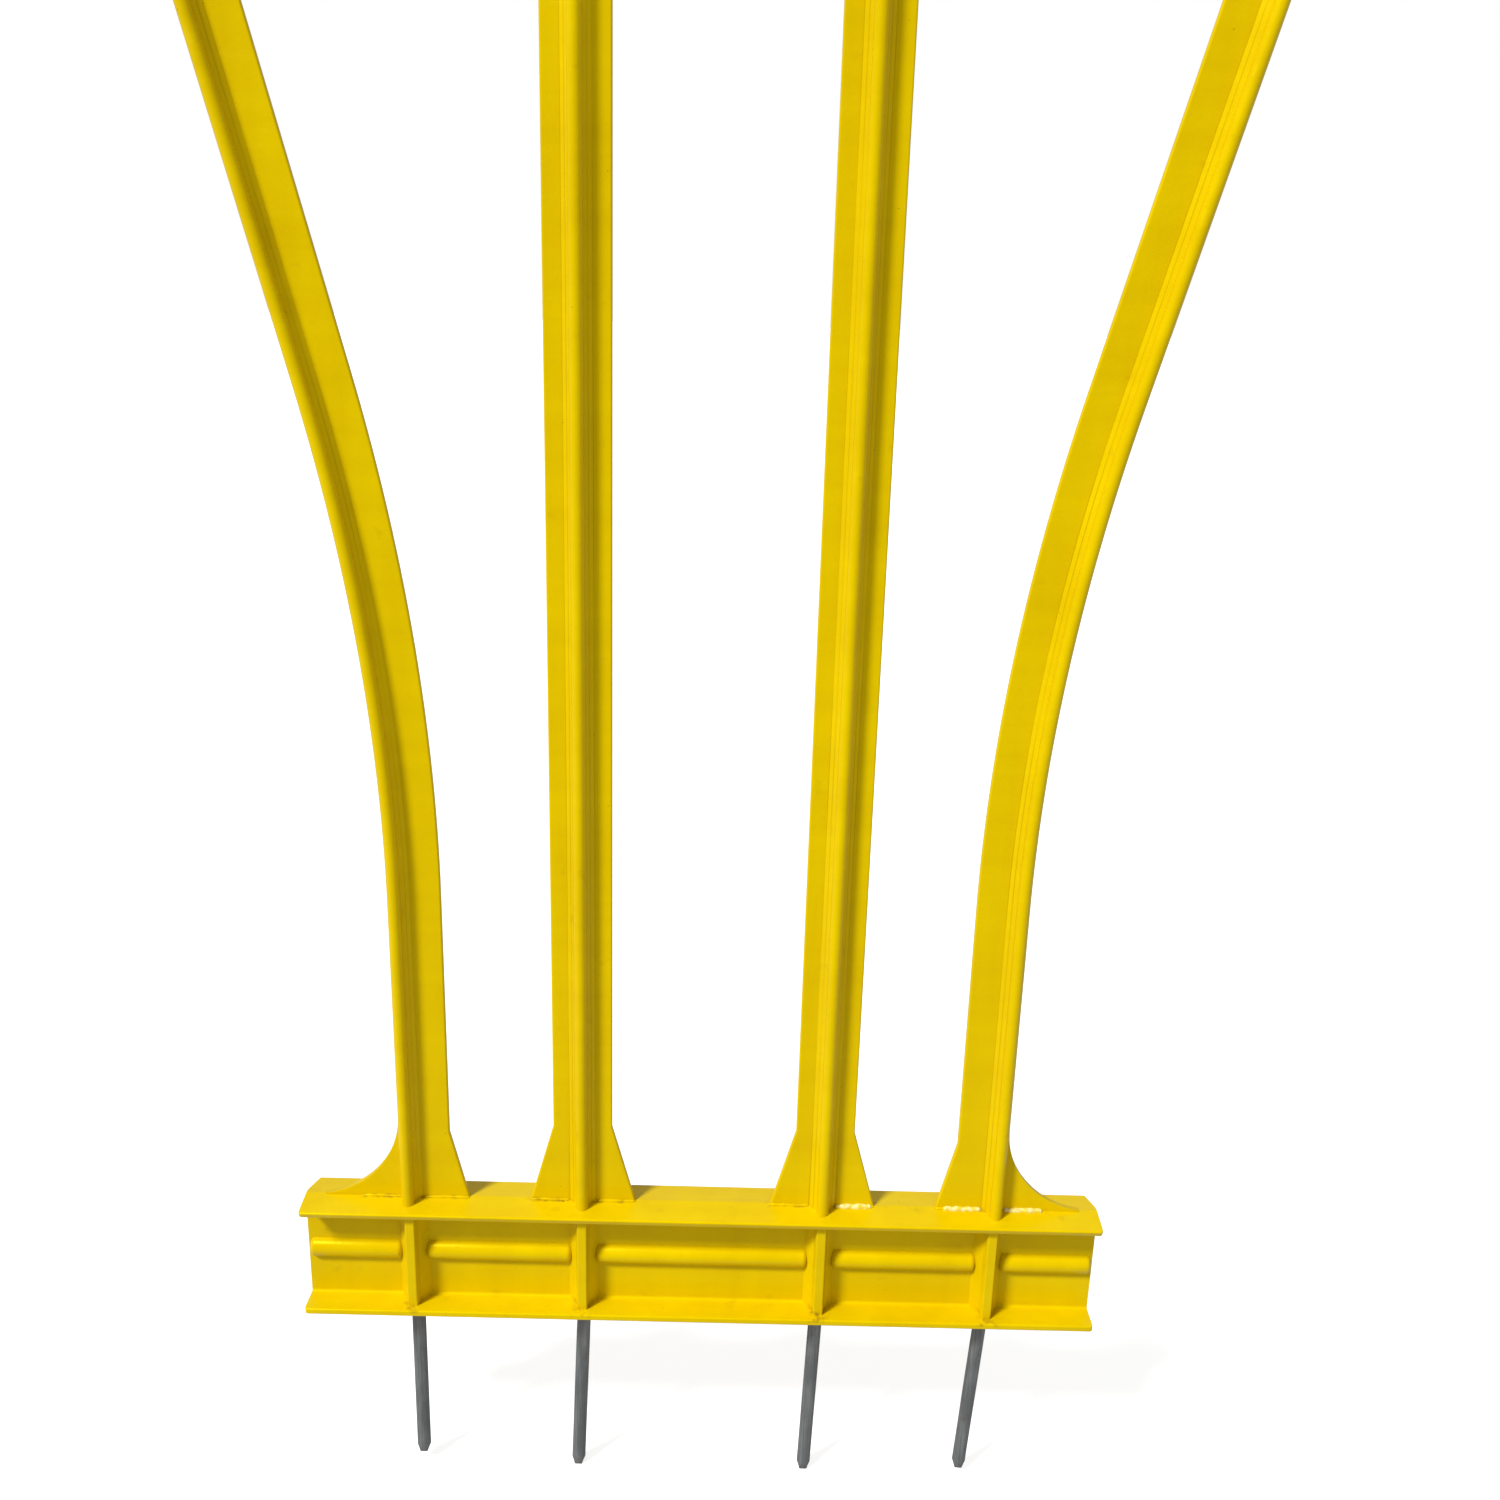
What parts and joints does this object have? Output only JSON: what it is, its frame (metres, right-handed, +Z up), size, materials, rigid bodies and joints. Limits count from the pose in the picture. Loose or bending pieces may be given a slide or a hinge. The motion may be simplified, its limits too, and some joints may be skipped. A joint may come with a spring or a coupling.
{
  "type": "free-kick training dummy",
  "caption": "Man-shaped football training dummy of ribbed yellow plastic bars, in two bolted halves, on a base rail with steel ground spikes.",
  "frame": {"origin": "centre of the base rail's underside, which lies on the ground", "axes": "+Z up, +X along the base rail to the right as seen from the front, +Y through the dummy from front to back"},
  "size_m": [0.5272, 0.032, 1.85],
  "materials": {
    "yellow_plastic": "glossy moulded polypropylene, saturated yellow, with scuffs and specks of dirt",
    "spike_steel": "dark satin drawn steel bar, lightly worn at the point",
    "zinc_steel": "bright zinc-plated steel"
  },
  "bodies": {
    "root": {"base_rail": "yellow_plastic", "outer_left_leg": "yellow_plastic", "inner_left_leg": "yellow_plastic", "inner_right_leg": "yellow_plastic", "outer_right_leg": "yellow_plastic", "lower_waist_rail": "yellow_plastic", "upper_waist_rail": "yellow_plastic", "outer_left_torso_bar": "yellow_plastic", "inner_left_torso_bar": "yellow_plastic", "inner_right_torso_bar": "yellow_plastic", "outer_right_torso_bar": "yellow_plastic", "chest_rail": "yellow_plastic", "left_shoulder": "yellow_plastic", "right_shoulder": "yellow_plastic", "left_neck_post": "yellow_plastic", "right_neck_post": "yellow_plastic", "collar_rail": "yellow_plastic", "head_hoop": "yellow_plastic", "head_bar": "yellow_plastic", "outer_left_spike": "spike_steel", "inner_left_spike": "spike_steel", "inner_right_spike": "spike_steel", "outer_right_spike": "spike_steel", "waist_bolts": "zinc_steel", "waist_washers": "zinc_steel", "waist_nuts": "zinc_steel"}
  },
  "joints": []
}
